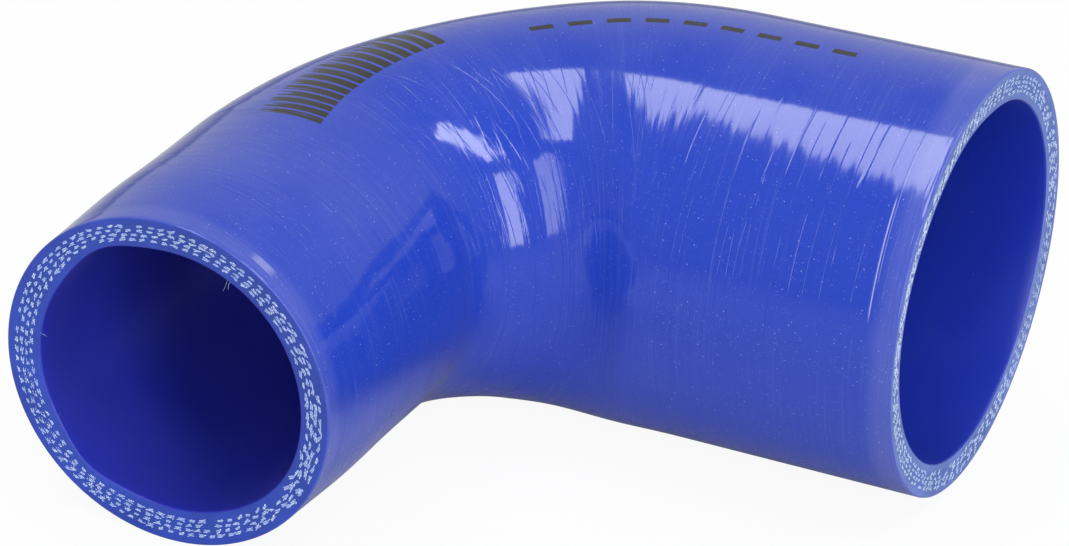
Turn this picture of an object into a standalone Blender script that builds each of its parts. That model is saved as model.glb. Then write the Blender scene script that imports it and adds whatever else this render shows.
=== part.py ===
"""A 90 degree reducing elbow hose in cloth-reinforced silicone, lying on its side.

The hose is one cured piece. Its small end slips over one pipe and its large end over a
wider one. It is set out as such an elbow is drawn: two straight legs, joined by a tight
corner on the inside of the bend, the throat, and by a wide one on the outside, the heel.
Every section between them is round, so the bore widens as it goes round the bend, and the
wall has the same thickness all along. Both ends are trimmed slightly out of square.

Units are metres and radians, +Z is up. The origin is below the middle of the hose, on the
surface that it lies on.
"""

import math
from collections import namedtuple

import bmesh
import bpy
from mathutils import Matrix, Vector

# Sizes of the hose. Each leg is measured from the corner where the two centre lines meet.
SMALL_BORE = 0.051
LARGE_BORE = 0.070
WALL = 0.0061
SMALL_LEG = 0.1056
LARGE_LEG = 0.1119
BEND_ANGLE = math.radians(90)
THROAT_RADIUS = 0.016
HEEL_RADIUS = 0.0960
EDGE_CHAMFER = 0.0004

# The small leg is this much larger in radius at the bend than at its end, so that the cured
# hose strips off its mandrel
SMALL_LEG_DRAFT = 0.0012

# How far each cut leans, so that the hose is longer on the outside of the bend
SMALL_CUT_TILT = math.radians(1.2)
LARGE_CUT_TILT = math.radians(3.5)

# Fineness of the mesh
SIDES = 64
BEND_STEPS = 20
LEG_STEPS = 3
SHARP_ANGLE = math.radians(30)

# A face of the hull that leans more than this from level isn't one that the hose lies on
MOST_LEAN = math.radians(20)

SILICONE_BLUE = (0.030, 0.045, 0.46, 1.0)

UP = Vector((0, 0, 1))

# One side of the hose seen square to the bend: how far its straight lines lie inside the two
# legs' centre lines, and the arc that joins them
Outline = namedtuple("Outline", "small_side large_side radius centre")

# A section of the hose: its centre, how far the bend has turned there, its bore's radius, and
# how far it leans out of square, forwards on the outside of the bend
Section = namedtuple("Section", "centre turned bore_radius lean", defaults=(0.0,))


def clear_scene():
    for obj in list(bpy.data.objects):
        bpy.data.objects.remove(obj, do_unlink=True)


def along(turned):
    """The direction of the hose, from the small end, once the bend has turned this far."""
    return Vector((math.sin(turned), math.cos(turned), 0))


def outward(turned):
    """The direction straight across the hose, to the outside of the bend."""
    return Vector((-math.cos(turned), math.sin(turned), 0))


def inside_legs(small_side, large_side):
    """The point this far inside the small leg's centre line and the large leg's."""
    point = small_side * along(BEND_ANGLE) - large_side * along(0)
    return point / math.sin(BEND_ANGLE)


def outline(small_side, large_side, radius):
    centre = inside_legs(small_side + radius, large_side + radius)
    return Outline(small_side, large_side, radius, centre)


def bend_pivot(*outlines):
    """The point that the bend's sections all turn about.

    It is level with the last of the arcs' starts and ends, so that both legs are straight
    where they meet the bend.
    """
    start = min(side.centre.dot(along(0)) for side in outlines)
    end = max(side.centre.dot(along(BEND_ANGLE)) for side in outlines)
    point = start * outward(BEND_ANGLE) - end * outward(0)
    return point / math.sin(BEND_ANGLE)


def reach(pivot, turned, side):
    """The distance from the pivot, straight outwards, to one side of the hose."""
    ray = outward(turned)
    to_centre = side.centre - pivot
    midway = ray.dot(to_centre)
    half_chord = math.sqrt(max(side.radius**2 - to_centre.length_squared + midway**2, 0))
    on_arc = midway + half_chord
    from_centre = on_arc * ray - to_centre
    if from_centre.dot(along(0)) < 0:
        return (side.small_side + pivot.dot(outward(0))) / -ray.dot(outward(0))
    if from_centre.dot(along(BEND_ANGLE)) > 0:
        return (side.large_side + pivot.dot(outward(BEND_ANGLE))) / -ray.dot(outward(BEND_ANGLE))
    return on_arc


def bend_section(pivot, turned, throat, heel):
    """The round section that touches the throat and the heel."""
    near = reach(pivot, turned, throat)
    far = reach(pivot, turned, heel)
    centre = pivot + outward(turned) * (near + far) / 2
    return Section(centre, turned, (far - near) / 2 - WALL)


def sections():
    """The sections that the skins are lofted through, from the small end to the large end."""
    small_skin = SMALL_BORE / 2 + SMALL_LEG_DRAFT + WALL
    large_skin = LARGE_BORE / 2 + WALL
    throat = outline(small_skin, large_skin, THROAT_RADIUS)
    heel = outline(-small_skin, -large_skin, HEEL_RADIUS)
    pivot = bend_pivot(throat, heel)
    small_centre = -SMALL_LEG * along(0)
    large_centre = LARGE_LEG * along(BEND_ANGLE)
    small_end = Section(small_centre, 0, SMALL_BORE / 2, -SMALL_CUT_TILT)
    large_end = Section(large_centre, BEND_ANGLE, LARGE_BORE / 2, LARGE_CUT_TILT)
    bend = [
        bend_section(pivot, BEND_ANGLE * step / BEND_STEPS, throat, heel)
        for step in range(BEND_STEPS + 1)
    ]
    shares = [step / LEG_STEPS for step in range(1, LEG_STEPS)]
    small_leg = [between(small_end, bend[0], share) for share in shares]
    large_leg = [between(bend[-1], large_end, share) for share in shares]
    return [small_end, *small_leg, *bend, *large_leg, large_end]


def between(first, second, share):
    """A square section part of the way along a straight leg."""
    radius = first.bore_radius + (second.bore_radius - first.bore_radius) * share
    return Section(first.centre.lerp(second.centre, share), first.turned, radius)


def add_ring(bm, section, radius, shift=0.0):
    """Add a ring of points round a section, moved along the hose by shift."""
    across = outward(section.turned)
    ahead = along(section.turned)
    points = []
    for side in range(SIDES):
        angle = math.tau * side / SIDES
        offset = radius * math.cos(angle)
        run = shift + offset * math.tan(section.lean)
        point = section.centre + offset * across + radius * math.sin(angle) * UP + run * ahead
        points.append(bm.verts.new(point))
    return points


def bridge(bm, ring, following):
    """Join two rings with a band of faces."""
    for side in range(SIDES):
        bm.faces.new((ring[side - 1], ring[side], following[side], following[side - 1]))


def add_cut_face(bm, section, inwards):
    """Add a cut end's rings, from the bore to the outer skin. Inwards is +1 or -1, along the hose."""
    bore = section.bore_radius
    skin = bore + WALL
    set_back = inwards * EDGE_CHAMFER
    return [
        add_ring(bm, section, bore, set_back),
        add_ring(bm, section, bore + EDGE_CHAMFER),
        add_ring(bm, section, skin - EDGE_CHAMFER),
        add_ring(bm, section, skin, set_back),
    ]


def loft_hose(bm):
    """Loft the bore, the large cut face, the outer skin and the small cut face as one closed skin."""
    small_end, *middle, large_end = sections()
    rings = [add_ring(bm, section, section.bore_radius) for section in middle]
    rings += add_cut_face(bm, large_end, -1)
    rings += [add_ring(bm, section, section.bore_radius + WALL) for section in reversed(middle)]
    rings += reversed(add_cut_face(bm, small_end, 1))
    for ring, following in zip(rings, rings[1:] + rings[:1]):
        bridge(bm, ring, following)
    bmesh.ops.recalc_face_normals(bm, faces=bm.faces)


def centre_of_mass(bm):
    """The centre of a closed mesh of even density, summed over the wedges from the origin."""
    total = 0.0
    moment = Vector()
    for corners in bm.calc_loop_triangles():
        a, b, c = (corner.vert.co for corner in corners)
        wedge = a.dot(b.cross(c))
        total += wedge
        moment += wedge * (a + b + c) / 4
    return moment / total


def resting_face_normal(bm):
    """The outward normal of the convex hull's face that the hose comes to rest on.

    Of the faces on its under side it is the one nearest to the centre of mass, because the
    hose rolls until its centre of mass can sink no lower.
    """
    middle = centre_of_mass(bm)
    hull = bmesh.new()
    for vert in bm.verts:
        hull.verts.new(vert.co)
    bmesh.ops.convex_hull(hull, input=hull.verts)
    bmesh.ops.recalc_face_normals(hull, faces=hull.faces)
    nearest = math.inf
    normal = -UP
    for face in hull.faces:
        height = (face.verts[0].co - middle).dot(face.normal)
        if face.normal.angle(-UP) < MOST_LEAN and height < nearest:
            nearest = height
            normal = face.normal.copy()
    hull.free()
    return normal


def lay_down(bm):
    """Turn the hose onto the face that it rests on and centre it over the origin."""
    turn = resting_face_normal(bm).rotation_difference(-UP).to_matrix()
    bmesh.ops.rotate(bm, cent=Vector(), matrix=turn, verts=bm.verts)
    lowest = Vector(min(vert.co[axis] for vert in bm.verts) for axis in range(3))
    highest = Vector(max(vert.co[axis] for vert in bm.verts) for axis in range(3))
    middle = (lowest + highest) / 2
    base = Vector((middle.x, middle.y, lowest.z))
    bmesh.ops.transform(bm, matrix=Matrix.Translation(-base), verts=bm.verts)


def silicone_material():
    """Glossy blue silicone rubber."""
    material = bpy.data.materials.new("blue_silicone")
    material.use_nodes = True
    material.diffuse_color = SILICONE_BLUE
    shader = material.node_tree.nodes["Principled BSDF"]
    shader.inputs["Base Color"].default_value = SILICONE_BLUE
    shader.inputs["Roughness"].default_value = 0.25
    shader.inputs["Metallic"].default_value = 0.0
    return material


def make_elbow_hose():
    mesh = bpy.data.meshes.new("elbow_hose")
    bm = bmesh.new()
    loft_hose(bm)
    lay_down(bm)
    bm.to_mesh(mesh)
    bm.free()
    mesh.materials.append(silicone_material())
    mesh.shade_smooth()
    mesh.set_sharp_from_angle(angle=SHARP_ANGLE)
    hose = bpy.data.objects.new("elbow_hose", mesh)
    bpy.context.scene.collection.objects.link(hose)


clear_scene()
make_elbow_hose()
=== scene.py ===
"""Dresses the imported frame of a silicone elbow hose: its finish, its cut ends and a studio.

The hose is modelled flat, as it lies on a drawing, with the corner where its centre lines
cross at the origin, the small leg along -Y and the large leg along +X. It is then turned
into the attitude that it rests in. Units are metres and radians, +Z is up.
"""

import math
import random
from collections import namedtuple

import bpy
from bpy.props import FloatProperty, FloatVectorProperty, IntProperty, PointerProperty
from mathutils import Color, Matrix, Vector


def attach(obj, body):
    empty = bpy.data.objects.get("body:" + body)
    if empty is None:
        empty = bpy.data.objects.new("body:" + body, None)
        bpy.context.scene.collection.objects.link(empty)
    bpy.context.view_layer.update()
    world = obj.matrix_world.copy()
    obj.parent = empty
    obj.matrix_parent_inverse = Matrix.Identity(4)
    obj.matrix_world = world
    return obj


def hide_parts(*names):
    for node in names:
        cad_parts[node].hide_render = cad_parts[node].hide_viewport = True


bl_info = {
    "name": "Silicone elbow hose",
    "version": (1, 0, 0),
    "blender": (4, 5, 0),
    "location": "View3D > Sidebar > Elbow hose",
    "description": "Models a reinforced silicone elbow hose with its cut ends, and a studio for it",
    "category": "Add Mesh",
}

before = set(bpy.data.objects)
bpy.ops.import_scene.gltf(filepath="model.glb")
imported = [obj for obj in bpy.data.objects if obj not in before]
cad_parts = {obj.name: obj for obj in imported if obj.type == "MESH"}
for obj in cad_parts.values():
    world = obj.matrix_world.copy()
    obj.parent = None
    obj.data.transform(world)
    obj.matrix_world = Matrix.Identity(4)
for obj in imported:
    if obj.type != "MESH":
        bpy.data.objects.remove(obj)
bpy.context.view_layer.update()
BODY = "root"
NODE = "elbow_hose"

MM = 0.001
UP = Vector((0, 0, 1))
QUARTER_TURN = math.radians(90)

# Where the flat model's corner comes to lie, and how the hose leans once it rests on the floor
CORNER_PLACE = Vector((-0.041066, 0.033288, 0.038749))
REST_AXIS = Vector((0.8365, -0.5480, 0))
REST_TURN = math.radians(4.663)

# A ring of the hose: its centre on the centre line, its radius, how far the bend has turned
# there, and the ring's own clockwise turns about X, Y and Z
Station = namedtuple("Station", "centre radius turned attitude")

# One side of the hose seen square to the bend: how far its straight lines lie inside the two
# legs' centre lines, and the arc that joins them
Outline = namedtuple("Outline", "small_side large_side radius centre")

# A swelling of the hose: how far it stands out, where its crown is, and its half width
Swelling = namedtuple("Swelling", "height crown spread")

# Where one skin of a leg is cut off: its length from the corner, and how far the cut is out of
# square in the bend's plane and sideways
Cut = namedtuple("Cut", "leg lean")

# An edge of a cut face: its centre, its two directions across and its radius
Edge = namedtuple("Edge", "centre across up radius")

# A cut face lies between its bore's edge and its skin's edge. The bore's edge is out of round.
CutFace = namedtuple("CutFace", "bore_edge skin_edge outwards swellings")

# How far the bore is out of round at its edges, with the places in degrees round the hose:
# the rubber springs back unevenly when it leaves the mandrel and the knife
SMALL_BORE_SWELLINGS = [
    Swelling(-0.33 * MM, 130, 1000),
    Swelling(1.0 * MM, 60, 15),
    Swelling(0.75 * MM, 215, 30),
    Swelling(1.1 * MM, 309, 13),
]
LARGE_BORE_SWELLINGS = [
    Swelling(-1.0 * MM, 335, 32),
    Swelling(0.75 * MM, 170, 26),
    Swelling(-0.5 * MM, 228, 22),
    Swelling(-0.45 * MM, 90, 14),
]
UNROUND_DEPTH = 9 * MM

# How deep the skin's wrap lines and creases are
STRIP_RELIEF = 0.042 * MM
GROOVE_DEPTH = 0.03 * MM

# Highlights painted pale on the skin: glints on two thin lips where the wrap ends, the gleam of a
# shiny flat by the small rim, and a faint lighter band at each rim where its skin catches the light.
# Each has how pale it is, where it starts and ends round the hose in degrees, where it starts and
# ends along it, and how soft its edges are. An edge of softness 1 fades over this far along the
# hose and round it, either way
HIGHLIGHT_EDGE = 0.12 * MM
HIGHLIGHT_TURN = math.radians(2)
PAINTED_HIGHLIGHTS = (
    (0.75, 137, 167, 184.90 * MM, 185.08 * MM, 1.0),
    (0.40, 122, 158, 185.45 * MM, 185.55 * MM, 1.0),
    (0.26, 120, 127.5, 0.8 * MM, 2.6 * MM, 1.0),
    (0.06, -215, 215, -9 * MM, 3.0 * MM, 15),
    (0.08, -215, 215, 186.5 * MM, 205 * MM, 15),
)

# Equal printed marks: where the row starts and ends along the hose, where its two ends begin round
# the hose, how far round each mark goes, how many there are and the inked share of their pitch
Marks = namedtuple("Marks", "start end skew span count inked")
BARS = Marks(45.6 * MM, 86.4 * MM, (math.radians(99.4), math.radians(90)), math.radians(22), 16, 0.76)
DASHES = Marks(102 * MM, 166 * MM, (math.radians(93.5),) * 2, math.radians(2.6), 9, 0.62)

# Half the width over which a mark's edges fade: along the hose, and in radians round it at the
# foot of the bars and at their worn top
INK_EDGE = 0.06 * MM
FOOT_EDGE = 0.004
TOP_EDGE = 0.02

# The fabric plies lie in the middle of the wall: their middle and their band as shares of it,
# from the bore, how far from their middle the dark rubber between them reaches before and after
# it fades, and how far apart their yarns are
PLY_MIDDLE = 0.5
PLY_BAND = 0.58
DARK_RUBBER = (1.4 * MM, 1.9 * MM)
YARN_PITCH = 2.05 * MM

# A yarn's cut end has two rows of filaments: how far apart they stand in a row, how far each row
# is off the middle and shifted along it, and how far they stand out of their heart's middle. The
# heart is darker than they are
FILAMENT_PITCH = 0.46 * MM
ROW_OFFSET = 0.17 * MM
ROW_SHIFT = 0.1 * MM
FILAMENT_LIFT = 0.02 * MM
HEART_PALENESS = 0.12

# How unevenly the yarn ends lie where they are neat and where they are frayed: the share that is
# missing, their spreads in pitches round the hose, in metres across the plies and in radians of
# twist, and how far they are drawn out along the ply
Unevenness = namedtuple("Unevenness", "missing off_round off_ply twist stretch")
NEAT = Unevenness(0.02, 0.05, 0.03 * MM, 0.1, 1.0)
FRAYED = Unevenness(0.12, 0.21, 0.12 * MM, 0.32, 1.25)

# Filaments that hang loose from the small cut: where they come out, in degrees and as a share of
# the wall, and their bend in mm, with X round the cut, Y across the wall and Z out of it
FIBRE_THICKNESS = 0.05 * MM
LOOSE_FIBRES = (
    (117, 0.03, ((0, 0.2, -0.1), (0.1, -0.9, 0.5), (0.5, -1.6, 0.3), (0.2, -2.7, 0.2))),
    (118.5, 0.02, ((0, 0.2, -0.1), (-0.2, -0.6, 0.3), (-0.1, -0.9, 0.3), (0.5, -1.2, 0.4))),
    (8, 0.02, ((0, 0.2, -0.1), (0.2, -0.5, 0.3), (0.3, -0.9, 0.3), (-0.1, -1.3, 0.2))),
)

# A lamp behind a rectangular screen, which faces straight down before its turns
Softbox = namedtuple("Softbox", "name place turns size radiance")

# The room: which way its white side lies, its levels on that side and on the other, and the
# share of them that its ceiling has
ROOM_BEHIND = Vector((-0.45, 0.85, 0.15))
ROOM_BACK = 0.6
ROOM_FRONT = 0.36
CEILING_SHARE = 0.45

# The floor: how bright it looks, and the levels of the light falloff painted into its colour beside the hose
# and at the table's edge
FLOOR_GLOW = 0.93
TABLE_LEVEL = 0.7
TABLE_EDGE_LEVEL = 0.36

# Two softboxes hang over the hose and two stand in front of it, this far away
LAMP_DISTANCE = 2.0


def overhead(name, x, y, turn, width, length, radiance):
    """A softbox in the ceiling. Its place and size are shares of its height."""
    place = Vector((x, y, 1)) * LAMP_DISTANCE
    size = (width * LAMP_DISTANCE, length * LAMP_DISTANCE)
    return Softbox(name, place, (0, 0, math.radians(turn)), size, radiance)


def upright(name, azimuth, elevation, width, height, radiance):
    """A softbox that stands in front, this far round to the right of the front."""
    turn = math.radians(azimuth)
    place = Vector((math.sin(turn), -math.cos(turn), math.tan(math.radians(elevation)))) * LAMP_DISTANCE
    size = (width * LAMP_DISTANCE, height * LAMP_DISTANCE)
    return Softbox(name, place, (QUARTER_TURN, 0, turn), size, radiance)


SOFTBOXES = (
    overhead("overhead_left", -0.222, -0.36, 12.9, 0.225, 0.98, 5.7),
    overhead("overhead_right", 0.52, -0.04, 26.7, 0.20, 0.77, 8.0),
    upright("front_left", 11.0, 22.0, 0.38, 1.05, 3.1),
    upright("front_right", 53.5, 24.0, 0.30, 0.92, 5.7),
)


def linear(level):
    """One sRGB level from 0 to 1, as light."""
    return level / 12.92 if level <= 0.04045 else ((level + 0.055) / 1.055) ** 2.4


def colour(code):
    """An sRGB hex colour such as #2a3cc0, as the linear red, green and blue of the shaders."""
    return tuple(linear(int(code[place : place + 2], 16) / 255) for place in (1, 3, 5))


def length_property(name, description, default):
    return FloatProperty(name=name, description=description, default=default, min=0.0, unit="LENGTH")


def angle_property(name, description, degrees):
    return FloatProperty(name=name, description=description, default=math.radians(degrees), unit="ROTATION")


def lean_property(name, in_plane, sideways):
    description = "How far this edge of the cut is out of square, in the bend's plane and sideways"
    default = (math.radians(in_plane), math.radians(sideways))
    return FloatVectorProperty(name=name, description=description, default=default, size=2, unit="ROTATION")


def colour_property(name, description, code):
    return FloatVectorProperty(
        name=name, description=description, default=colour(code), size=3, min=0.0, max=1.0, subtype="COLOR"
    )


class ElbowHoseSizes(bpy.types.PropertyGroup):
    small_bore: length_property("Small bore", "Inner diameter of the small end", 51 * MM)
    large_bore: length_property("Large bore", "Inner diameter of the large end", 70 * MM)
    wall: length_property("Wall", "Thickness of the wall", 6.15 * MM)
    small_leg: length_property("Small leg", "From the corner to the small end", 105.6 * MM)
    large_leg: length_property("Large leg", "From the corner to the large end", 111.9 * MM)
    throat_radius: length_property("Throat radius", "Of the inside of the bend", 13.5 * MM)
    heel_radius: length_property("Heel radius", "Of the outside of the bend", 95.9 * MM)
    draft: length_property("Draft", "What the small leg's radius gains towards the bend", 1.26 * MM)
    rim_rounding: length_property("Rim rounding", "How far the cut rims are rounded", 0.4 * MM)
    small_dish: length_property("Small dish", "How far the small bore's edge is set back", 1.05 * MM)
    large_dish: length_property("Large dish", "How far the large bore's edge is set back", 0.5 * MM)
    small_bore_lean: lean_property("Small bore lean", -1.8, -0.66)
    small_skin_lean: lean_property("Small skin lean", -0.61, -1.49)
    large_bore_lean: lean_property("Large bore lean", 3.7, -0.58)
    large_skin_lean: lean_property("Large skin lean", 3.22, -0.30)
    sides: IntProperty(name="Sides", description="Faces round the hose", default=192, min=24)
    plies: IntProperty(name="Plies", description="Layers of fabric in the wall", default=4, min=1)
    seed: IntProperty(name="Seed", description="Start of the random draws", default=51)


class ElbowHoseColours(bpy.types.PropertyGroup):
    skin: colour_property("Skin", "The silicone's moulded outer skin", "#1e3fb8")
    # The two lining colours are one silicone, each painted as it looks lit in its bore: the small bore's
    # light looks more violet
    small_lining_as_lit: colour_property("Small lining", "The silicone inside the small bore", "#2b34b2")
    large_lining_as_lit: colour_property("Large lining", "The silicone inside the large bore", "#1c33b0")
    small_cut: colour_property("Small cut", "The silicone bared by the small end's knife cut", "#2c47b1")
    large_cut: colour_property("Large cut", "The silicone bared by the large end's knife cut", "#637cca")
    between_small: colour_property("Between small plies", "The small cut between its yarns", "#2a4caa")
    between_large: colour_property("Between large plies", "The large cut between its yarns", "#4668b8")
    yarn: colour_property("Yarn", "The cut ends of the fabric's yarn, where they are clean", "#e9f6ff")
    soaked_yarn: colour_property("Soaked yarn", "The yarn's ends where rubber has soaked in", "#7b9ae6")
    # Besides dust, this colour paints the skin's glints along its wrap lines and its highlights at the wrap's
    # ends and rims
    dust_and_highlights: colour_property("Dust", "The pale film and specks of dust on the skin", "#c9cfee")
    ink: colour_property("Ink", "The plain printed bars and dashes", "#1c1d1a")
    backdrop: colour_property("Backdrop", "The studio's floor and backdrop", "#f7f7f8")


class ElbowHoseStudio(bpy.types.PropertyGroup):
    focal_length: FloatProperty(name="Focal length", description="In mm", default=122.93, min=1.0)
    distance: length_property("Distance", "From the camera to the middle of the hose", 666.0 * MM)
    azimuth: angle_property("Azimuth", "How far to the right of the front the camera stands", 21.73)
    elevation: angle_property("Elevation", "How far above level the camera stands", 23.97)
    roll: angle_property("Roll", "How far the camera is turned about its own axis", 6.79)
    aim: FloatVectorProperty(
        name="Aim",
        description="The point that the camera looks at",
        default=(0.0003, -0.0112, 0.042),
        unit="LENGTH",
    )


def sizes():
    return bpy.context.scene.elbow_hose_sizes


def colours():
    return bpy.context.scene.elbow_hose_colours


def studio():
    return bpy.context.scene.elbow_hose_studio


# The course of the hose


def along(turned):
    """The direction of the hose, from the small end, once the bend has turned this far."""
    return Vector((math.sin(turned), math.cos(turned), 0))


def outward(turned):
    """The direction straight across the hose, to the outside of the bend."""
    return Vector((-math.cos(turned), math.sin(turned), 0))


def swell(swellings, place):
    return sum(one.height * math.exp(-(((place - one.crown) / one.spread) ** 2)) for one in swellings)


def swell_round(swellings, angle):
    """The same round the hose, where a place in degrees comes back every full turn."""
    degrees = math.degrees(angle)
    return sum(
        one.height * math.exp(-(((degrees - one.crown + 180) % 360 - 180) / one.spread) ** 2)
        for one in swellings
    )


class Course:
    """The hose's centre line and outer radius, from its small end to its large end."""

    # What the moulded hose shows beside its drawn outlines: the small end's flare, and where
    # the bend stands out or is drawn in, with the places in degrees of the bend
    FLARE = [Swelling(0.40 * MM, 18.9 * MM, 12 * MM)]
    HEEL = [Swelling(0.62 * MM, 22.6, 14), Swelling(-0.25 * MM, 57, 14)]
    THROAT = [Swelling(1.94 * MM, 47.5, 15)]

    CUT_FADE = 30 * MM
    ROW = 1.1 * MM
    BEND_ROW = math.radians(1)

    def __init__(self):
        given = sizes()
        self.wall = given.wall
        self.small_skin = given.small_bore / 2 + self.wall
        self.large_skin = given.large_bore / 2 + self.wall
        self.small_leg = given.small_leg
        self.large_leg = given.large_leg
        self.draft = given.draft
        bend_skin = self.small_skin + self.draft
        self.throat = self.outline(bend_skin, self.large_skin, given.throat_radius)
        self.heel = self.outline(-bend_skin, -self.large_skin, given.heel_radius)
        centres = (self.throat.centre, self.heel.centre)
        self.pivot = Vector((max(spot.x for spot in centres), min(spot.y for spot in centres), 0))
        self.lengths = self.measure_bend()
        self.skin = self.make_stations(
            Cut(self.small_leg + given.small_dish, given.small_skin_lean),
            Cut(self.large_leg + given.large_dish, given.large_skin_lean),
        )
        self.bore = [
            station._replace(radius=station.radius - self.wall)
            for station in self.make_stations(
                Cut(self.small_leg, given.small_bore_lean), Cut(self.large_leg, given.large_bore_lean), 2
            )
        ]

    @staticmethod
    def outline(small_side, large_side, radius):
        return Outline(small_side, large_side, radius, Vector((small_side + radius, -large_side - radius, 0)))

    def reach(self, turned, side):
        """The distance from the pivot, straight outwards, to one side of the hose."""
        ray = outward(turned)
        to_centre = side.centre - self.pivot
        midway = ray.dot(to_centre)
        half_chord = math.sqrt(max(side.radius**2 - to_centre.length_squared + midway**2, 0))
        on_arc = midway + half_chord
        from_centre = on_arc * ray - to_centre
        if from_centre.y < 0:
            return (self.pivot.x - side.small_side) / math.cos(turned)
        if from_centre.x > 0:
            return (-side.large_side - self.pivot.y) / math.sin(turned)
        return on_arc

    def bend_section(self, turned):
        """The centre and outer radius of the section where the bend has turned this far."""
        degrees = math.degrees(turned)
        near = self.reach(turned, self.throat) + swell(self.THROAT, degrees)
        far = self.reach(turned, self.heel) + swell(self.HEEL, degrees)
        return self.pivot + outward(turned) * (near + far) / 2, (far - near) / 2

    def small_leg_section(self, y):
        from_end = y + self.small_leg
        share = from_end / (self.pivot.y + self.small_leg)
        return Vector((0, y, 0)), self.small_skin + self.draft * share + swell(self.FLARE, from_end)

    def large_leg_section(self, x):
        return Vector((x, 0, 0)), self.large_skin

    def cut_share(self, from_end):
        """How much of the cut's lean a section has, from 1 at the end to 0 past the fade."""
        return max(1 - from_end / self.CUT_FADE, 0) ** 2

    def make_stations(self, small_cut, large_cut, coarseness=1):
        """The rings of the outer skin between two cuts."""
        row_height = self.ROW * coarseness
        rows = round((self.pivot.y + small_cut.leg) / row_height)
        found = []
        for row in range(rows):
            y = -small_cut.leg + (self.pivot.y + small_cut.leg) * row / rows
            in_plane, sideways = Vector(small_cut.lean) * self.cut_share(y + small_cut.leg)
            found.append(Station(*self.small_leg_section(y), 0.0, Vector((sideways, 0, in_plane))))
        rows = round(QUARTER_TURN / self.BEND_ROW / coarseness)
        for row in range(rows + 1):
            turned = QUARTER_TURN * row / rows
            found.append(Station(*self.bend_section(turned), turned, Vector((0, 0, turned))))
        rows = round((large_cut.leg - self.pivot.x) / row_height)
        for row in range(1, rows + 1):
            x = self.pivot.x + (large_cut.leg - self.pivot.x) * row / rows
            in_plane, sideways = Vector(large_cut.lean) * self.cut_share(large_cut.leg - x)
            attitude = Vector((0, -sideways, QUARTER_TURN + in_plane))
            found.append(Station(*self.large_leg_section(x), QUARTER_TURN, attitude))
        return found

    def measure_bend(self):
        """The length of the centre line up to each step of the bend."""
        steps = round(QUARTER_TURN / self.BEND_ROW)
        centres = [self.bend_section(QUARTER_TURN * step / steps)[0] for step in range(steps + 1)]
        lengths = [self.pivot.y + self.small_leg]
        for before, after in zip(centres, centres[1:]):
            lengths.append(lengths[-1] + (after - before).length)
        return lengths

    def length_to(self, turned):
        """The length of the centre line up to where the bend has turned this far."""
        step = turned / self.BEND_ROW
        low = min(int(step), len(self.lengths) - 2)
        return self.lengths[low] + (self.lengths[low + 1] - self.lengths[low]) * (step - low)

    def whole_length(self):
        return self.length_to(QUARTER_TURN) + self.large_leg - self.pivot.x

    def straighten(self, point):
        """Where a point lies once the centre line is pulled straight: across, up and along."""
        spoke = point - self.pivot
        if spoke.y < 0:
            return Vector((-point.x, point.z, point.y + self.small_leg))
        if spoke.x > 0:
            return Vector((point.y, point.z, self.length_to(QUARTER_TURN) + spoke.x))
        turned = math.atan2(spoke.y, -spoke.x)
        centre, _ = self.bend_section(turned)
        return Vector(((point - centre).dot(outward(turned)), point.z, self.length_to(turned)))

    @staticmethod
    def edge(station, lean):
        ahead = along(station.turned)
        across = (outward(station.turned) + math.tan(lean[0]) * ahead).normalized()
        up = (UP + math.tan(lean[1]) * ahead).normalized()
        return Edge(station.centre, across, up, station.radius)

    def small_cut(self):
        given = sizes()
        bore_edge = self.edge(self.bore[0], given.small_bore_lean)
        skin_edge = self.edge(self.skin[0], given.small_skin_lean)
        return CutFace(bore_edge, skin_edge, -along(0), SMALL_BORE_SWELLINGS)

    def large_cut(self):
        given = sizes()
        bore_edge = self.edge(self.bore[-1], given.large_bore_lean)
        skin_edge = self.edge(self.skin[-1], given.large_skin_lean)
        return CutFace(bore_edge, skin_edge, along(QUARTER_TURN), LARGE_BORE_SWELLINGS)


def on_edge(edge, angle, swelling=0.0):
    spoke = math.cos(angle) * edge.across + math.sin(angle) * edge.up
    return edge.centre + spoke * (edge.radius + swelling)


def on_cut(face, angle, share):
    """The place on a cut face at this angle and share of the wall, with X round it and Z out of it."""
    inner = on_edge(face.bore_edge, angle, swell_round(face.swellings, angle))
    outer = on_edge(face.skin_edge, angle)
    across = (outer - inner).normalized()
    tangent = across.cross(face.outwards).normalized()
    place = Matrix((tangent, across, tangent.cross(across))).transposed().to_4x4()
    place.translation = inner.lerp(outer, share)
    return place


# Modelling by hand


def deselect_all():
    for obj in list(bpy.context.selected_objects):
        obj.select_set(False)
    bpy.context.view_layer.objects.active = None


def pick(*objects):
    deselect_all()
    for obj in objects:
        obj.select_set(True)
    bpy.context.view_layer.objects.active = objects[0]


def lay_down(obj):
    """Turn a piece that was modelled flat into the attitude that the hose rests in."""
    rest = Matrix.Translation(CORNER_PLACE) @ Matrix.Rotation(REST_TURN, 4, REST_AXIS)
    obj.matrix_world = rest @ obj.matrix_world
    pick(obj)
    bpy.ops.object.transform_apply(location=True, rotation=True, scale=True)


def start_ring(sides, radius, centre):
    """A circle that faces along Y, left in edit mode with its edges selected."""
    deselect_all()
    bpy.ops.mesh.primitive_circle_add(
        vertices=sides, radius=radius, location=centre, rotation=(QUARTER_TURN, 0, 0), enter_editmode=True
    )
    return bpy.context.object


def extrude_through(stations):
    """Extrude the selected ring from the first station through the others."""
    for before, after in zip(stations, stations[1:]):
        bpy.ops.mesh.extrude_region()
        step = after.centre - before.centre
        if step.length:
            bpy.ops.transform.translate(value=step)
        for axis, angle in zip("XYZ", after.attitude - before.attitude):
            if angle:
                bpy.ops.transform.rotate(value=angle, orient_axis=axis, center_override=after.centre)
        if after.radius != before.radius:
            bpy.ops.transform.resize(value=(after.radius / before.radius,) * 3, center_override=after.centre)


CUT_ROW = 0.6 * MM


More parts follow.
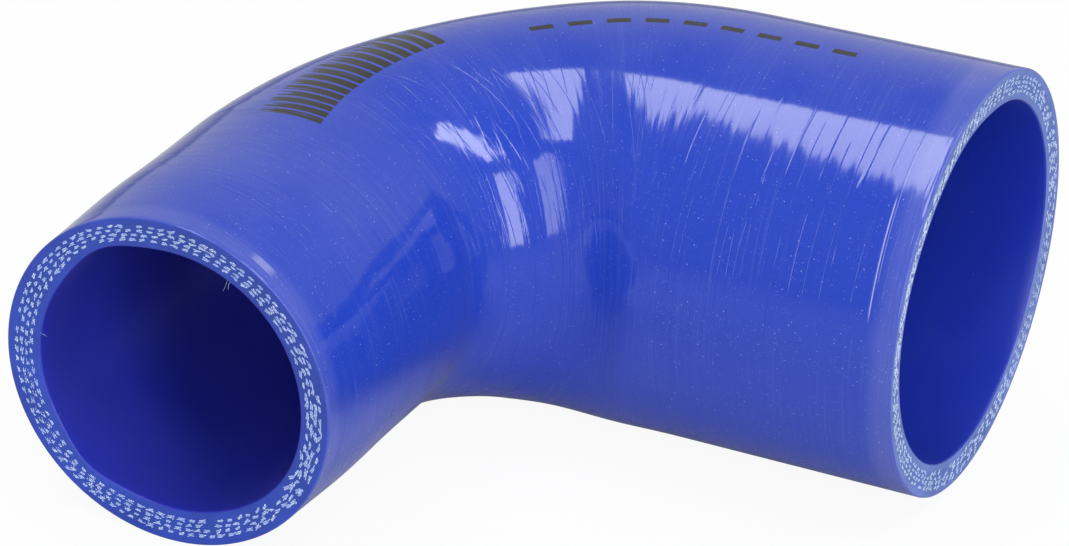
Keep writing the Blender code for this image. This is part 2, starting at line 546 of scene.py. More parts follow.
def across_wall(start, end):
    """The rings of a cut face between two of its edges."""
    rows = round(abs(start.radius - end.radius) / CUT_ROW)
    return [
        Station(
            start.centre.lerp(end.centre, row / rows),
            start.radius + (end.radius - start.radius) * row / rows,
            start.turned,
            start.attitude.lerp(end.attitude, row / rows),
        )
        for row in range(rows + 1)
    ]


def model_hose(course):
    """The hose as one closed skin: the outside, the large cut, the bore and the small cut."""
    given = sizes()
    first = course.skin[0]
    body = start_ring(given.sides, first.radius, first.centre)
    bpy.ops.transform.rotate(value=first.attitude.x, orient_axis="X", center_override=first.centre)
    bpy.ops.transform.rotate(value=first.attitude.z, orient_axis="Z", center_override=first.centre)
    extrude_through(course.skin)
    extrude_through(across_wall(course.skin[-1], course.bore[-1]))
    extrude_through(course.bore[::-1])
    extrude_through(across_wall(course.bore[0], first))
    bpy.ops.mesh.select_all(action="SELECT")
    bpy.ops.mesh.remove_doubles(threshold=0.05 * MM)
    bpy.ops.mesh.normals_make_consistent(inside=False)
    bpy.ops.mesh.select_all(action="DESELECT")
    bpy.ops.mesh.edges_select_sharp(sharpness=math.radians(60))
    bpy.ops.mesh.bevel(offset=given.rim_rounding, segments=3, affect="EDGES")
    bpy.ops.object.mode_set(mode="OBJECT")
    body.name = body.data.name = "hose_body"
    pick(body)
    bpy.ops.object.transform_apply(location=True, rotation=True, scale=True)
    bpy.ops.object.shade_smooth()
    return body


def unround_bore(body, course):
    """Move the points near the bore's two edges in or out, as far as its swellings say."""
    given = sizes()
    whole = course.whole_length()
    for vertex in body.data.vertices:
        place = course.straighten(vertex.co)
        if place.z < whole / 2:
            swellings, from_end, bore, turned = SMALL_BORE_SWELLINGS, place.z, given.small_bore / 2, 0
        else:
            swellings, from_end, bore = LARGE_BORE_SWELLINGS, whole - place.z, given.large_bore / 2
            turned = QUARTER_TURN
        radius = math.hypot(place.x, place.y)
        in_wall = min(max((radius - bore) / course.wall, 0), 1)
        share = (1 - in_wall) * math.exp(-((max(from_end, 0) / UNROUND_DEPTH) ** 2))
        if share > 0.01:
            centre = vertex.co - (place.x * outward(turned) + place.y * UP)
            stretch = 1 + share * swell_round(swellings, math.atan2(place.y, place.x)) / radius
            vertex.co = centre + (vertex.co - centre) * stretch


SKIN, LINING, SMALL_CUT, LARGE_CUT = range(4)

# A face whose normal lies this far along the hose belongs to a cut
CUT_FACING = 0.9


def mark_surfaces(body, course):
    """Give each vertex its place on the straightened hose, and each face its finish."""
    mesh = body.data
    straight = [course.straighten(vertex.co) for vertex in mesh.vertices]
    places = mesh.attributes.new("straight", "FLOAT_VECTOR", "POINT")
    places.data.foreach_set("vector", [part for place in straight for part in place])
    whole = course.whole_length()
    for face in mesh.polygons:
        place = sum((straight[corner] for corner in face.vertices), Vector()) / len(face.vertices)
        spoke = face.center - course.pivot
        turned = min(max(math.atan2(spoke.y, -spoke.x), 0), QUARTER_TURN)
        lengthwise = face.normal.dot(along(turned))
        radial = Vector((place.x, place.y))
        flat_normal = Vector((face.normal.dot(outward(turned)), face.normal.z))
        if abs(lengthwise) > CUT_FACING:
            face.material_index = SMALL_CUT if place.z < whole / 2 else LARGE_CUT
        else:
            face.material_index = SKIN if radial.dot(flat_normal) > 0 else LINING


# Materials


# How a mask or a pattern goes from one level to another
SMOOTH = {"interpolation_type": "SMOOTHSTEP"}

# How strongly the rubber and the yarn bend light
SILICONE_IOR = 1.43
POLYESTER_IOR = 1.55


def add(owner, kind, inputs=(), **settings):
    """Add a shader node with its settings, and values or links for its inputs, in order or by name.

    Its owner is a material or a world. A node among the inputs stands for its first output, and a
    colour is made opaque.
    """
    tree = owner.node_tree
    node = tree.nodes.new("ShaderNode" + kind)
    for name, value in settings.items():
        setattr(node, name, value)
    for name, value in inputs.items() if isinstance(inputs, dict) else enumerate(inputs):
        if isinstance(value, bpy.types.Node):
            value = next(socket for socket in value.outputs if socket.enabled)
        if isinstance(value, bpy.types.NodeSocket):
            tree.links.new(value, node.inputs[name])
        elif isinstance(value, Color):
            node.inputs[name].default_value = (*value, 1.0)
        else:
            node.inputs[name].default_value = value
    return node


def new_material(name):
    material = bpy.data.materials.new(name)
    material.use_nodes = True
    material.node_tree.nodes.clear()
    return material


def place_on_hose(material):
    """A point's place on the straightened hose: across, up and along."""
    return add(material, "Attribute", attribute_name="straight").outputs["Vector"]


def from_centre_line(material, place):
    flat = add(material, "VectorMath", (place, (1, 1, 0)), operation="MULTIPLY")
    return add(material, "VectorMath", (flat,), operation="LENGTH")


def window(material, value, start, end, *softness):
    """1 where the value lies between start and end. Softness is half the width of each edge."""
    first, last = softness[0], softness[-1]
    rise = add(material, "MapRange", (value, start - first, start + first), **SMOOTH)
    fall = add(material, "MapRange", (value, end + last, end - last), **SMOOTH)
    return add(material, "Math", (rise, fall), operation="MULTIPLY")


def slanted(material, place, slant, around, pitch):
    """Coordinates for marks that run round the hose, this much out of square and this long."""
    across, up, lengthwise = add(material, "SeparateXYZ", (place,)).outputs
    shift = add(material, "Math", (across, slant, lengthwise), operation="MULTIPLY_ADD")
    spot = add(material, "CombineXYZ", (across, up, shift))
    return add(material, "Mapping", {"Vector": spot, "Scale": (1 / around, 1 / around, 1 / pitch)})


def creases(material, place, slant, pitch, width):
    """1 in the middle of narrow creases that run round the hose, and 0 outside them.

    They lie where a noise, stretched far round the hose, passes its middle. A second noise
    breaks them up, so that each runs for a centimetre or two and fades out at its ends.
    """
    spot = slanted(material, place, slant, 300 * MM, pitch)
    noise = add(material, "TexNoise", {"Vector": spot, "Scale": 1.0, "Detail": 1.0})
    off_middle = add(material, "Math", (noise, 0.5), operation="SUBTRACT")
    distance = add(material, "Math", (off_middle,), operation="ABSOLUTE")
    narrow = add(material, "MapRange", (distance, width, 0.0), **SMOOTH)
    stretch = slanted(material, place, slant, 16 * MM, 3 * MM)
    breaks = add(material, "TexNoise", {"Vector": stretch, "Scale": 1.0})
    unbroken = add(material, "MapRange", (breaks, 0.42, 0.58), **SMOOTH)
    return add(material, "Math", (narrow, unbroken), operation="MULTIPLY")


def dust_specks(material, place, spacing, size):
    """1 on specks of this radius, which lie about this far apart."""
    cells = add(material, "TexVoronoi", {"Vector": place, "Scale": 1 / spacing})
    near = add(material, "MapRange", (cells, size / spacing, 0.4 * size / spacing), **SMOOTH)
    draw = add(material, "SeparateXYZ", (cells.outputs["Color"],))
    chosen = add(material, "MapRange", (draw, 0.2, 0.9), **SMOOTH)
    return add(material, "Math", (near, chosen), operation="MULTIPLY")


def stripes(material, lengthwise, row):
    """1 where a mark of the row lies along the hose."""
    pitch = (row.end - row.start) / (row.count - 1 + row.inked)
    turns = add(material, "Math", (lengthwise, 1 / pitch, -row.start / pitch), operation="MULTIPLY_ADD")
    phase = add(material, "Math", (turns,), operation="FRACT")
    marks = window(material, phase, 0, row.inked, INK_EDGE / pitch)
    in_row = window(material, lengthwise, row.start - INK_EDGE, row.end + INK_EDGE, INK_EDGE)
    return add(material, "Math", (marks, in_row), operation="MULTIPLY")


def printed_marks(material, place):
    """1 where plain ink lies on the skin: a block of equal bars, and a row of equal dashes."""
    across, up, lengthwise = add(material, "SeparateXYZ", (place,)).outputs
    angle = add(material, "Math", (up, across), operation="ARCTAN2")
    # The block was stamped a little askew, so its ends drift round the hose along it
    drift = (BARS.skew[1] - BARS.skew[0]) / (BARS.end - BARS.start)
    askew = add(material, "Math", (lengthwise, -drift, angle), operation="MULTIPLY_ADD")
    foot = BARS.skew[0] - drift * BARS.start
    top = foot - BARS.span
    block = window(material, askew, top, foot, TOP_EDGE, FOOT_EDGE)
    bars = add(material, "Math", (stripes(material, lengthwise, BARS), block), operation="MULTIPLY")
    # The ink wore off in streaks along the bars, most of all at their far ends
    spot = slanted(material, place, 0, 9 * MM, 0.35 * MM)
    streaks = add(material, "TexNoise", {"Vector": spot, "Scale": 1.0, "Detail": 3.0, "Roughness": 0.6})
    wear = add(material, "MapRange", (askew, foot - 0.55 * BARS.span, top, 0.30, 0.50), **SMOOTH)
    left_over = add(material, "Math", (streaks, wear), operation="SUBTRACT")
    kept = add(material, "MapRange", (left_over, 0, 0.05), **SMOOTH)
    worn_bars = add(material, "Math", (bars, kept), operation="MULTIPLY")
    line = window(material, angle, DASHES.skew[0] - DASHES.span, DASHES.skew[0], FOOT_EDGE)
    dashes = add(material, "Math", (stripes(material, lengthwise, DASHES), line), operation="MULTIPLY")
    kept = add(material, "MapRange", (streaks, 0.25, 0.34), **SMOOTH)
    worn_dashes = add(material, "Math", (dashes, kept), operation="MULTIPLY")
    return add(material, "Math", (worn_bars, worn_dashes), operation="MAXIMUM")


def painted_highlight_mask(material, place):
    """Highlights painted pale on the skin at the ends of its wrap, on a flat by the small rim and beside its
    two rims.
    """
    across, up, lengthwise = add(material, "SeparateXYZ", (place,)).outputs
    angle = add(material, "Math", (up, across), operation="ARCTAN2")
    total = 0.0
    for pale, start, end, near, far, soft in PAINTED_HIGHLIGHTS:
        round_it = window(material, angle, math.radians(start), math.radians(end), HIGHLIGHT_TURN * soft)
        along_it = window(material, lengthwise, near, far, HIGHLIGHT_EDGE * soft)
        patch = add(material, "Math", (round_it, along_it), operation="MULTIPLY")
        total = add(material, "Math", (patch, pale, total), operation="MULTIPLY_ADD")
    return total


def skin_relief(material, place):
    """The skin's bump: the film's strips lay unevenly on it and their creases left grooves."""
    # The strips lie on each other some millimetres apart
    spot = slanted(material, place, 0.05, 40 * MM, 2.7 * MM)
    strips = add(material, "TexNoise", {"Vector": spot, "Scale": 1.0, "Detail": 1.5, "Roughness": 0.45})
    # The grooves are about 0.3 mm wide, and in the bend others cross them
    lengthwise = add(material, "SeparateXYZ", (place,)).outputs["Z"]
    in_bend = window(material, lengthwise, 66 * MM, 122 * MM, 8 * MM, 10 * MM)
    others = creases(material, place, 0.42, 3.4 * MM, 0.017)
    crossing = add(material, "Math", (others, in_bend), operation="MULTIPLY")
    grooves = add(material, "Math", (creases(material, place, -0.07, 3.6 * MM, 0.012), crossing))
    relief = add(material, "Math", (strips, STRIP_RELIEF), operation="MULTIPLY")
    height = add(material, "Math", (grooves, -GROOVE_DEPTH, relief), operation="MULTIPLY_ADD")
    return add(material, "Bump", {"Height": height, "Strength": 1.0, "Distance": 1.0})


def skin_dust_and_highlights(material, place):
    """How pale the skin is: with glints painted along its fine wrap lines, paler towards its upper side, with
    dust, and with highlights painted at the ends of its wrap and by its rims.
    """
    # Glints of light along the fine wrap lines are painted pale: the lines are 0.1 mm apart or less, and
    # drawn about three times as wide so that they show
    spot = slanted(material, place, 0.03, 60 * MM, 0.35 * MM)
    lines = add(material, "TexNoise", {"Vector": spot, "Scale": 1.0, "Roughness": 0.6})
    line = add(material, "MapRange", (lines, 0.52, 0.72), **SMOOTH)
    patchy = add(material, "TexNoise", {"Vector": place, "Scale": 1 / (14 * MM), "Detail": 3.0})
    strength = add(material, "MapRange", (patchy, 0.38, 0.62, 0.004, 0.04), **SMOOTH)
    line_glints = add(material, "Math", (line, strength), operation="MULTIPLY")
    # The skin is paler towards its upper side, in a thin patchy film, and dust lies as specks of 0.2 mm
    # everywhere
    up = add(material, "SeparateXYZ", (place,)).outputs["Y"]
    upness = add(material, "Math", (up, from_centre_line(material, place)), operation="DIVIDE")
    paler_on_top = add(material, "MapRange", (upness, 0.5, 1.0, 0.003, 0.026), **SMOOTH)
    thickness = add(material, "MapRange", (patchy, 0.3, 0.7, 0.6, 1.4), **SMOOTH)
    pale = add(material, "Math", (paler_on_top, thickness), operation="MULTIPLY")
    specks = dust_specks(material, place, 1.1 * MM, 0.13 * MM)
    fine_specks = dust_specks(material, place, 0.5 * MM, 0.09 * MM)
    # Highlights painted pale where the wrap ends, on a flat by the small rim and at both rims
    painted_glints = painted_highlight_mask(material, place)
    for mask, share in ((line_glints, 1.0), (specks, 0.6), (fine_specks, 0.34), (painted_glints, 1.0)):
        pale = add(material, "Math", (mask, share, pale), operation="MULTIPLY_ADD", use_clamp=True)
    return pale


def skin_material():
    """Silicone rubber cured under a wrap of film: very glossy, with wrap lines, creases and dust, and with
    glints and highlights painted pale.
    """
    material = new_material("silicone_skin")
    place = place_on_hose(material)
    pale = skin_dust_and_highlights(material, place)
    ink = printed_marks(material, place)
    # The pale colour is dust, and also the painted glints and highlights
    palette = {"Factor": pale, "A": colours().skin, "B": colours().dust_and_highlights}
    dusted_and_highlighted = add(material, "Mix", palette, data_type="RGBA")
    base = add(material, "Mix", {"Factor": ink, "A": dusted_and_highlighted, "B": colours().ink}, data_type="RGBA")
    # Ink dries to a duller surface than the film leaves
    roughness = add(material, "MapRange", (ink, 0, 1, 0.09, 0.35), **SMOOTH)
    finish = {
        "Base Color": base,
        "Roughness": roughness,
        "IOR": SILICONE_IOR,
        "Specular IOR Level": 0.75,
        "Sheen Weight": 0.04,
        "Sheen Roughness": 0.4,
        "Normal": skin_relief(material, place),
    }
    add(material, "OutputMaterial", (add(material, "BsdfPrincipled", finish),))
    return material


def lining_material():
    """Silicone rubber moulded on a polished mandrel: smooth, evenly glossy and a little dusty."""
    material = new_material("silicone_lining")
    place = place_on_hose(material)
    # The lining is painted more violet in the small bore than in the large one, as the light in the small
    # bore looks
    lengthwise = add(material, "SeparateXYZ", (place,)).outputs["Z"]
    share = add(material, "MapRange", (lengthwise, 50 * MM, 140 * MM), **SMOOTH)
    palette = {"Factor": share, "A": colours().small_lining_as_lit, "B": colours().large_lining_as_lit}
    rubber = add(material, "Mix", palette, data_type="RGBA")
    # Dust lies as a very thin patchy film, and as a few specks
    patchy = add(material, "TexNoise", {"Vector": place, "Scale": 1 / (20 * MM), "Detail": 3.0})
    film = add(material, "MapRange", (patchy, 0.3, 0.7, 0, 0.012), **SMOOTH)
    dusty = add(material, "Mix", {"Factor": film, "A": rubber, "B": colours().dust_and_highlights}, data_type="RGBA")
    specks = dust_specks(material, place, 3.2 * MM, 0.16 * MM)
    speckled = add(material, "Math", (specks, 0.35), operation="MULTIPLY")
    palette = {"Factor": speckled, "A": dusty, "B": colours().dust_and_highlights}
    finish = {
        "Base Color": add(material, "Mix", palette, data_type="RGBA"),
        "Roughness": 0.3,
        "IOR": SILICONE_IOR,
        "Sheen Weight": 0.02,
        "Sheen Roughness": 0.4,
    }
    add(material, "OutputMaterial", (add(material, "BsdfPrincipled", finish),))
    return material


def cut_material(name, rubber, between, bore):
    """Silicone rubber and its fabric plies bared by a knife, which leaves them dull and grainy."""
    material = new_material(name)
    place = place_on_hose(material)
    # The plies lie in the middle of the wall, and the rubber there is dark between their yarns
    middle = bore + sizes().wall * PLY_MIDDLE
    off_middle = add(material, "Math", (from_centre_line(material, place), middle), operation="SUBTRACT")
    distance = add(material, "Math", (off_middle,), operation="ABSOLUTE")
    in_plies = add(material, "MapRange", (distance, *DARK_RUBBER, 1, 0), **SMOOTH)
    # Yarn is about 0.5 mm thick, so the rubber shows through in spots of about that size
    spots = add(material, "TexNoise", {"Vector": place, "Scale": 1 / (0.55 * MM)})
    dark = add(material, "MapRange", (spots, 0.35, 0.6))
    share = add(material, "Math", (in_plies, dark), operation="MULTIPLY")
    plies = add(material, "Mix", {"Factor": share, "A": rubber, "B": between}, data_type="RGBA")
    # The face is darker or lighter in patches of about 1 cm
    patches = add(material, "TexNoise", {"Vector": place, "Scale": 1 / (9 * MM)})
    level = add(material, "MapRange", (patches, 0.3, 0.7, 0.86, 1.14))
    base = add(material, "VectorMath", {0: plies, "Scale": level}, operation="SCALE")
    # The knife drags the rubber into a grain of about 0.2 mm
    grain = add(material, "TexNoise", {"Vector": place, "Scale": 1 / (0.2 * MM), "Detail": 3.0})
    relief = add(material, "Math", (spots, 3, grain), operation="MULTIPLY_ADD")
    bump = add(material, "Bump", {"Height": relief, "Strength": 1.0, "Distance": 0.03 * MM})
    finish = {"Base Color": base, "Roughness": 0.42, "IOR": SILICONE_IOR, "Normal": bump}
    add(material, "OutputMaterial", (add(material, "BsdfPrincipled", finish),))
    return material


def finish_as_polyester(material, clean, roughness):
    """White filaments, tinted where rubber has soaked in: clean is 0 there, and 1 where they are white."""
    palette = {"Factor": clean, "A": colours().soaked_yarn, "B": colours().yarn}
    tint = add(material, "Mix", palette, data_type="RGBA")
    finish = {"Base Color": tint, "Roughness": roughness, "IOR": POLYESTER_IOR}
    add(material, "OutputMaterial", (add(material, "BsdfPrincipled", finish),))
    return material


def yarn_material():
    """Polyester yarn cut across, each end with its own paleness."""
    material = new_material("polyester_yarn_ends")
    paleness = add(material, "Attribute", attribute_name="paleness").outputs["Fac"]
    return finish_as_polyester(material, paleness, 0.6)


def fibre_material():
    """Single polyester filaments: thin, smooth and pale, and a little tinted along their length."""
    material = new_material("polyester_filament")
    place = add(material, "TexCoord").outputs["Object"]
    streaks = add(material, "TexNoise", {"Vector": place, "Scale": 1 / (0.6 * MM)})
    share = add(material, "MapRange", (streaks, 0.3, 0.7), **SMOOTH)
    return finish_as_polyester(material, share, 0.45)


def floor_material():
    """Seamless white paper on a table, white to the camera with only a soft shadow, and painted darker away
    from the hose for other rays.
    """
    material = new_material("backdrop_paper")
    place = add(material, "TexCoord").outputs["Object"]
    from_hose = add(material, "VectorMath", (place,), operation="LENGTH")
    # For all but camera rays the floor's colour is painted darker as the light falls off, evenly with each
    # doubling of the distance, from 12 cm to 1 m
    stops = add(material, "Math", (from_hose, 2), operation="LOGARITHM")
    near = add(material, "MapRange", (stops, -3, 0, TABLE_LEVEL, TABLE_EDGE_LEVEL), **SMOOTH)
    white = colours().backdrop
    table_with_painted_falloff = add(material, "VectorMath", {0: tuple(white), "Scale": near}, operation="SCALE")
    to_camera = add(material, "LightPath").outputs["Is Camera Ray"]
    tone = add(material, "Mix", {"Factor": to_camera, "A": table_with_painted_falloff, "B": white}, data_type="RGBA")
    paper = add(material, "BsdfDiffuse", (tone,))
    glow = add(material, "Emission", {"Color": (1, 1, 1, 1), "Strength": 1.0})
    share = add(material, "Math", (to_camera, FLOOR_GLOW), operation="MULTIPLY")
    add(material, "OutputMaterial", (add(material, "MixShader", (share, paper, glow)),))
    return material


# The pieces


def copy_of(model, place, paleness):
    """A copy with its own mesh, its place in its mesh and its own paleness of yarn."""
    mesh = model.data.copy()
    mesh.transform(place)
    marks = mesh.attributes.get("paleness")
    if marks is None:
        marks = mesh.attributes.new("paleness", "FLOAT", "POINT")
        marks.data.foreach_set("value", [1.0] * len(mesh.vertices))
    for mark in marks.data:
        mark.value *= paleness
    copy = bpy.data.objects.new(model.name, mesh)
    bpy.context.scene.collection.objects.link(copy)
    return copy


def join(pieces, name):
    pick(*pieces)
    bpy.ops.object.join()
    joined = bpy.context.object
    joined.name = joined.data.name = name
    return joined


def settle(piece):
    """Lay a finished piece down with the hose, and attach it to its body."""
    lay_down(piece)
    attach(piece, BODY)


class ELBOWHOSE_OT_body(bpy.types.Operator):
    """Model the hose's body as one closed skin, laid down as it rests"""

    bl_idname = "elbow_hose.body"
    bl_label = "Hose body"

    def execute(self, context):
        course = Course()
        body = model_hose(course)
        mark_surfaces(body, course)
        unround_bore(body, course)
        given = sizes()
        tints = colours()
        for material in (
            skin_material(),
            lining_material(),
            cut_material("small_end_cut", tints.small_cut, tints.between_small, given.small_bore / 2),
            cut_material("large_end_cut", tints.large_cut, tints.between_large, given.large_bore / 2),
        ):
            body.data.materials.append(material)
        settle(body)
        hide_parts(NODE)
        return {"FINISHED"}


def model_filament(length, width, thickness, curl):
    """The flattened, slightly curled end of a filament bundle, which lies along X on the face."""
    # How thick it is at each of its rings, as shares of its middle
    girths = (0.35, 1.0, 1.0, 0.35)
    steps = len(girths) - 1
    half_turn = curl / 2
    centre = Vector((-length / 2, 0, 0))
    filament = start_ring(5, width / 2, centre)
    bpy.ops.transform.rotate(value=QUARTER_TURN + half_turn, orient_axis="Z", center_override=centre)
    bpy.ops.transform.resize(value=(girths[0],) * 3, center_override=centre)
    for ring in range(1, len(girths)):
        heading = half_turn - curl * (ring - 0.5) / steps
        step = Vector((math.cos(heading), math.sin(heading), 0)) * length / steps
        centre = centre + step
        bpy.ops.mesh.extrude_region()
        bpy.ops.transform.translate(value=step)
        bpy.ops.transform.rotate(value=curl / steps, orient_axis="Z", center_override=centre)
        stretch = girths[ring] / girths[ring - 1]
        if stretch != 1:
            bpy.ops.transform.resize(value=(stretch,) * 3, center_override=centre)
    bpy.ops.mesh.select_all(action="SELECT")
    bpy.ops.mesh.fill_holes(sides=5)
    bpy.ops.transform.resize(value=(1, 1, thickness / width), center_override=(0, 0, 0))
    bpy.ops.mesh.normals_make_consistent(inside=False)
    bpy.ops.object.mode_set(mode="OBJECT")
    pick(filament)
    bpy.ops.object.transform_apply(location=True, rotation=True, scale=True)
    bpy.ops.object.shade_smooth()
    return filament


def model_heart(length, width, height):
    """A flat, low, closed dome, in which the filaments of one yarn are stuck together."""
    deselect_all()
    bpy.ops.mesh.primitive_circle_add(vertices=10, radius=length / 2, fill_type="NGON", enter_editmode=True)
    heart = bpy.context.object
    bpy.ops.transform.translate(value=(0, 0, -height))
    bpy.ops.mesh.extrude_region()
    bpy.ops.transform.translate(value=(0, 0, 2 * height))
    bpy.ops.transform.resize(value=(0.75, 0.75, 1), center_override=(0, 0, height))
    bpy.ops.mesh.select_all(action="SELECT")
    bpy.ops.transform.resize(value=(1, width / length, 1), center_override=(0, 0, 0))
    bpy.ops.mesh.normals_make_consistent(inside=False)
    bpy.ops.object.mode_set(mode="OBJECT")
    return heart


def model_yarn_end(filaments, heart, draw):
    """One yarn's cut end: a flat heart soaked with rubber, and the filaments that stand out of it."""
    strands = [copy_of(heart, Matrix.Identity(4), HEART_PALENESS)]
    for row, columns in ((1, draw.choice((2, 3))), (-1, draw.choice((2, 2, 3)))):
        for column in range(columns):
            x = (column - (columns - 1) / 2) * FILAMENT_PITCH + draw.gauss(0, 0.06 * MM) + row * ROW_SHIFT
            y = row * ROW_OFFSET + draw.gauss(0, 0.05 * MM)
            place = (
                Matrix.Translation((x, y, FILAMENT_LIFT))
                @ Matrix.Rotation(draw.gauss(0.06 * row, 0.12), 4, "Z")
                @ Matrix.Diagonal((draw.uniform(0.7, 1.15), draw.uniform(0.8, 1.2), 1, 1))
            )
            strands.append(copy_of(draw.choice(filaments), place, min(draw.uniform(0.45, 1.2), 1)))
    return join(strands, "yarn_end")


def scatter_yarn_ends(face, models, draw, name, looseness, paleness):
    """Set the cut yarn ends into a cut face, ply by ply, each a little off its place."""
    given = sizes()
    copies = []
    for ply in range(given.plies):
        share = PLY_MIDDLE + PLY_BAND * ((ply + 0.5) / given.plies - 0.5)
        radius = face.bore_edge.radius + (face.skin_edge.radius - face.bore_edge.radius) * share
        ends = round(math.tau * radius / YARN_PITCH)
        offset = draw.random()
        for end in range(ends):
            angle = math.tau * (end + offset) / ends
            loose = looseness(angle)
            uneven = Unevenness(*(neat + (frayed - neat) * loose for neat, frayed in zip(NEAT, FRAYED)))
            if draw.random() < uneven.missing:
                continue
            off_round = draw.gauss(0, uneven.off_round) * YARN_PITCH / radius
            off_ply = draw.gauss(0, uneven.off_ply)
            twist = draw.gauss(0, uneven.twist)
            stretch = draw.uniform(0.85, 1.15) * uneven.stretch
            thickness = draw.uniform(0.8, 1.15)
            place = (
                on_cut(face, angle + off_round, share)
                @ Matrix.Translation((0, off_ply, 0))
                @ Matrix.Rotation(twist, 4, "Z")
                @ Matrix.Diagonal((stretch, thickness, 1, 1))
            )
            copies.append(copy_of(draw.choice(models), place, draw.uniform(*paleness)))
    return join(copies, name)


def small_end_looseness(angle):
    """From 0 where the yarn ends are neat to 1 where they are frayed, round the small end."""
    return math.exp(-(((angle - math.radians(200)) / math.radians(40)) ** 2))


def large_end_looseness(angle):
    """From 0 to 1 as for the small end, but frayed more evenly all round."""
    return 0.6 + 0.3 * math.sin(3 * angle)


class ELBOWHOSE_OT_yarn_ends(bpy.types.Operator):
    """Set the fabric's cut yarn ends into both cut faces"""

    bl_idname = "elbow_hose.yarn_ends"
    bl_label = "Yarn ends"

    def execute(self, context):
        course = Course()
        draw = random.Random(sizes().seed)
        bundle = {"length": 0.5 * MM, "width": 0.18 * MM, "thickness": 0.12 * MM}
        filaments = [model_filament(curl=math.radians(curl), **bundle) for curl in (-30, -8, 12, 40)]
        heart = model_heart(length=1.3 * MM, width=0.55 * MM, height=0.04 * MM)
        models = [model_yarn_end(filaments, heart, draw) for _ in range(8)]
        material = yarn_material()
        ends = (
            (course.small_cut(), "small_end_yarn", small_end_looseness, (0.6, 1.02)),
            (course.large_cut(), "large_end_yarn", large_end_looseness, (1.05, 1.55)),
        )
        for cut, name, looseness, paleness in ends:
            yarn = scatter_yarn_ends(cut, models, draw, name, looseness, paleness)
            yarn.data.materials.clear()
            yarn.data.materials.append(material)
            settle(yarn)
        for model in (*filaments, heart, *models):
            bpy.data.objects.remove(model)
        return {"FINISHED"}


def model_fibre(points, thickness):
    """A loose filament: a thin, bent tube from the first point to the last, with two points between."""
    deselect_all()
    bpy.ops.curve.primitive_bezier_curve_add()
    fibre = bpy.context.object
    start, end = fibre.data.splines[0].bezier_points
    start.co, start.handle_right, end.handle_left, end.co = points
    start.handle_left = start.co
    end.handle_right = end.co
    fibre.data.bevel_depth = thickness / 2
    fibre.data.bevel_resolution = 1
    fibre.data.use_fill_caps = True
    bpy.ops.object.convert(target="MESH")
    return bpy.context.object


class ELBOWHOSE_OT_loose_fibres(bpy.types.Operator):
    """Model the filaments that hang loose from the small end's cut"""

    bl_idname = "elbow_hose.loose_fibres"
    bl_label = "Loose fibres"

    def execute(self, context):
        cut = Course().small_cut()
        fibres = []
        for angle, share, bend in LOOSE_FIBRES:
            place = on_cut(cut, math.radians(angle), share)
            # The end stands in the rubber, and the rest hangs over the bore
            points = [place @ (Vector(point) * MM) for point in bend]
            fibres.append(model_fibre(points, FIBRE_THICKNESS))
        fibre = join(fibres, "loose_fibres")
        fibre.data.materials.append(fibre_material())
        settle(fibre)
        return {"FINISHED"}


def studio_world():
    """A room that is white behind the hose and dimmer on the camera's side."""
    world = bpy.data.worlds.new("studio_room")
    world.use_nodes = True
    world.node_tree.nodes.clear()
    direction = add(world, "TexCoord").outputs["Generated"]
    ahead = add(world, "VectorMath", (direction, ROOM_BEHIND.normalized()), operation="DOT_PRODUCT")
    level = add(world, "MapRange", (ahead, -0.6, 0.8, ROOM_FRONT, ROOM_BACK), **SMOOTH)
    height = add(world, "SeparateXYZ", (direction,)).outputs["Z"]
    ceiling = add(world, "MapRange", (height, 0.5, 0.95, 1, CEILING_SHARE), **SMOOTH)
    room = add(world, "Math", (level, ceiling), operation="MULTIPLY")
    to_camera = add(world, "LightPath").outputs["Is Camera Ray"]
    strength = add(world, "Mix", {"Factor": to_camera, "A": room, "B": 1.0}, data_type="FLOAT")
    background = add(world, "Background", {"Color": (1, 1, 1, 1), "Strength": strength})
    add(world, "OutputWorld", (background,))
    return world


def hang_softbox(softbox):
    """Add an area lamp that faces the way its turns give, with the radiance of a lit screen."""
    bpy.ops.object.light_add(type="AREA", location=softbox.place, rotation=softbox.turns)
    lamp = bpy.context.object
    lamp.name = lamp.data.name = softbox.name
    lamp.data.shape = "RECTANGLE"
    lamp.data.size, lamp.data.size_y = softbox.size
    lamp.data.energy = softbox.radiance * math.pi * softbox.size[0] * softbox.size[1]
    lamp.visible_camera = False


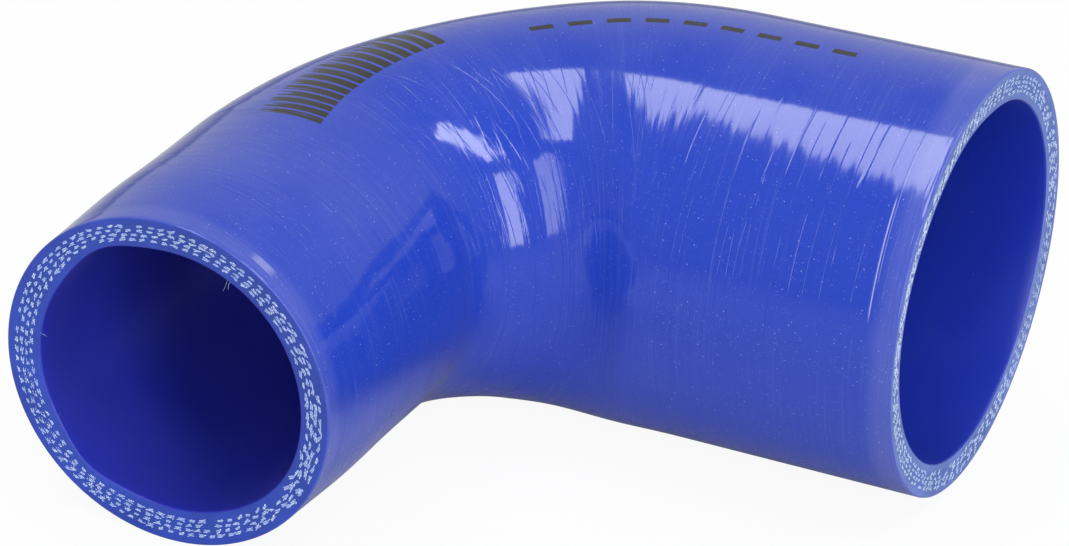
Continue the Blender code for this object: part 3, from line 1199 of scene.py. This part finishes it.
class ELBOWHOSE_OT_stage(bpy.types.Operator):
    """Set up the floor, the lights and the camera"""

    bl_idname = "elbow_hose.stage"
    bl_label = "Studio"

    def execute(self, context):
        deselect_all()
        bpy.ops.mesh.primitive_plane_add(size=6, location=(0, 0, 0))
        floor = bpy.context.object
        floor.name = "floor"
        floor.data.materials.append(floor_material())
        context.scene.world = studio_world()
        for softbox in SOFTBOXES:
            hang_softbox(softbox)
        given = studio()
        bpy.ops.object.camera_add()
        camera = bpy.context.object
        turn = (
            Matrix.Rotation(given.azimuth, 4, "Z")
            @ Matrix.Rotation(QUARTER_TURN - given.elevation, 4, "X")
            @ Matrix.Rotation(given.roll, 4, "Z")
        )
        back = turn @ Vector((0, 0, given.distance))
        camera.matrix_world = Matrix.Translation(Vector(given.aim) + back) @ turn
        camera.data.lens = given.focal_length
        camera.data.clip_end = 20
        context.scene.camera = camera
        context.scene.view_settings.view_transform = "Standard"
        return {"FINISHED"}


class ELBOWHOSE_PT_panel(bpy.types.Panel):
    """Lists the steps that make the hose and its studio"""

    bl_label = "Silicone elbow hose"
    bl_idname = "ELBOWHOSE_PT_panel"
    bl_space_type = "VIEW_3D"
    bl_region_type = "UI"
    bl_category = "Elbow hose"

    def draw(self, context):
        for step in STEPS:
            self.layout.operator(step.bl_idname)


STEPS = (ELBOWHOSE_OT_body, ELBOWHOSE_OT_yarn_ends, ELBOWHOSE_OT_loose_fibres, ELBOWHOSE_OT_stage)
GROUPS = {
    "elbow_hose_sizes": ElbowHoseSizes,
    "elbow_hose_colours": ElbowHoseColours,
    "elbow_hose_studio": ElbowHoseStudio,
}


def register():
    for name, group in GROUPS.items():
        bpy.utils.register_class(group)
        setattr(bpy.types.Scene, name, PointerProperty(type=group))
    for one in (*STEPS, ELBOWHOSE_PT_panel):
        bpy.utils.register_class(one)


def unregister():
    for one in reversed((*STEPS, ELBOWHOSE_PT_panel)):
        bpy.utils.unregister_class(one)
    for name, group in GROUPS.items():
        delattr(bpy.types.Scene, name)
        bpy.utils.unregister_class(group)


def main():
    register()
    bpy.ops.elbow_hose.body()
    bpy.ops.elbow_hose.yarn_ends()
    bpy.ops.elbow_hose.loose_fibres()
    bpy.ops.elbow_hose.stage()


if __name__ == "__main__":
    main()
